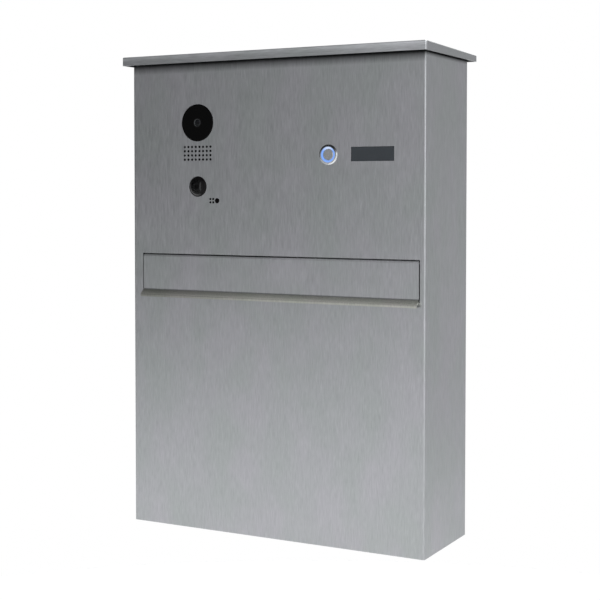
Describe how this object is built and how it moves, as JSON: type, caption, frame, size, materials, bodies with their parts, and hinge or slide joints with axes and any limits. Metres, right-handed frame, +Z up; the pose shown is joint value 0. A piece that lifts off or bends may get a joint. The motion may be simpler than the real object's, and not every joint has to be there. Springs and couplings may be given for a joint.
{
  "type": "wall mounted mailbox",
  "caption": "Wall mounted stainless letter box with a sloping roof cap, a hinged letter flap and a built-in door station with camera, speaker and call button.",
  "frame": {"origin": "centre of the four wall-screw holes, in the plane of the wall", "axes": "+Z up, -Y the front where the letter flap is, +X to the right of someone facing the front; the wall is the plane y = 0"},
  "size_m": [0.3814, 0.1477, 0.5462],
  "materials": {
    "brushed_stainless": "fine vertical brushed grain",
    "galvanised_steel": "bare zinc-coated sheet",
    "bright_hardware": "polished fasteners and rods",
    "black_gloss": "glossy black window plastic",
    "black_plastic": "matt black moulding",
    "black_rubber": "matt black rubber",
    "lens_glass": "coated lens glass",
    "acoustic_cloth": "black acoustic cloth",
    "lit_ring": "frosted light guide, glows blue-white",
    "circuit_board": "green solder resist",
    "terminal_green": "green terminal plastic",
    "slate_window": "dark slate window",
    "insert_card": "plain blank insert",
    "brass": "machined brass",
    "magnet": "magnet in a matt housing"
  },
  "bodies": {
    "casing": {"front_shell": "brushed_stainless", "back_panel": "galvanised_steel", "back_panel_rivets": "bright_hardware", "wall_spacers": "black_plastic", "cable_grommet": "black_rubber", "top_panel": "galvanised_steel", "roof_cap": "brushed_stainless", "roof_rail_left": "galvanised_steel", "roof_rail_right": "galvanised_steel", "roof_screws": "bright_hardware", "partition_shelf": "galvanised_steel", "flap_hinge_rod": "bright_hardware", "hinge_bracket_left": "galvanised_steel", "hinge_bracket_right": "galvanised_steel", "letter_chute": "galvanised_steel", "flap_seal": "black_rubber", "door_hinge_rod": "bright_hardware", "door_hinge_lugs": "galvanised_steel", "door_magnet": "magnet", "door_keeper": "galvanised_steel", "camera_cover": "black_gloss", "camera_gasket": "black_rubber", "lens_ring": "black_plastic", "camera_lens": "lens_glass", "camera_module": "black_plastic", "speaker_cloth": "acoustic_cloth", "speaker": "black_plastic", "motion_sensor_dome": "black_gloss", "motion_gasket": "black_rubber", "motion_sensor": "bright_hardware", "microphone": "bright_hardware", "microphone_boot": "black_rubber", "light_sensor_window": "black_gloss", "station_housing": "black_plastic", "circuit_board": "circuit_board", "terminal_block": "terminal_green", "station_rear_cover": "black_plastic", "rear_cover_screws": "bright_hardware", "weld_studs": "bright_hardware", "housing_nuts": "bright_hardware", "button_body": "brushed_stainless", "button_light_ring": "lit_ring", "button_switch": "black_plastic", "button_washer": "bright_hardware", "button_nut": "bright_hardware", "button_spring": "bright_hardware", "nameplate_window": "slate_window", "nameplate_insert": "insert_card", "nameplate_holder": "black_plastic", "nameplate_light_board": "circuit_board"},
    "flap": {"mail_flap": "brushed_stainless"},
    "button": {"call_button_cap": "brushed_stainless"},
    "door": {"bottom_door": "brushed_stainless", "lock_body": "bright_hardware", "lock_nut": "brass"},
    "lock": {"lock_plug": "brass", "lock_cam": "bright_hardware", "cam_screw": "bright_hardware"}
  },
  "joints": [
    {"name": "flap_hinge", "type": "hinge", "parent": "casing", "child": "flap", "pos_m": [0, -0.13092, 0.04392], "axis": [-1, 0, 0], "range_deg": [0, 80]},
    {"name": "button_press", "type": "slide", "parent": "casing", "child": "button", "axis": [0, 1, 0], "range_m": [0, 0.0012], "stiffness_N_per_m": 2500, "deforming": ["button_spring"]},
    {"name": "door_hinge", "type": "hinge", "parent": "casing", "child": "door", "pos_m": [0, -0.024, -0.2635], "axis": [1, 0, 0], "range_deg": [0, 90]},
    {"name": "lock_turn", "type": "hinge", "parent": "door", "child": "lock", "pos_m": [0, -0.1105, -0.269], "axis": [0, 0, -1], "range_deg": [0, 90]}
  ]
}
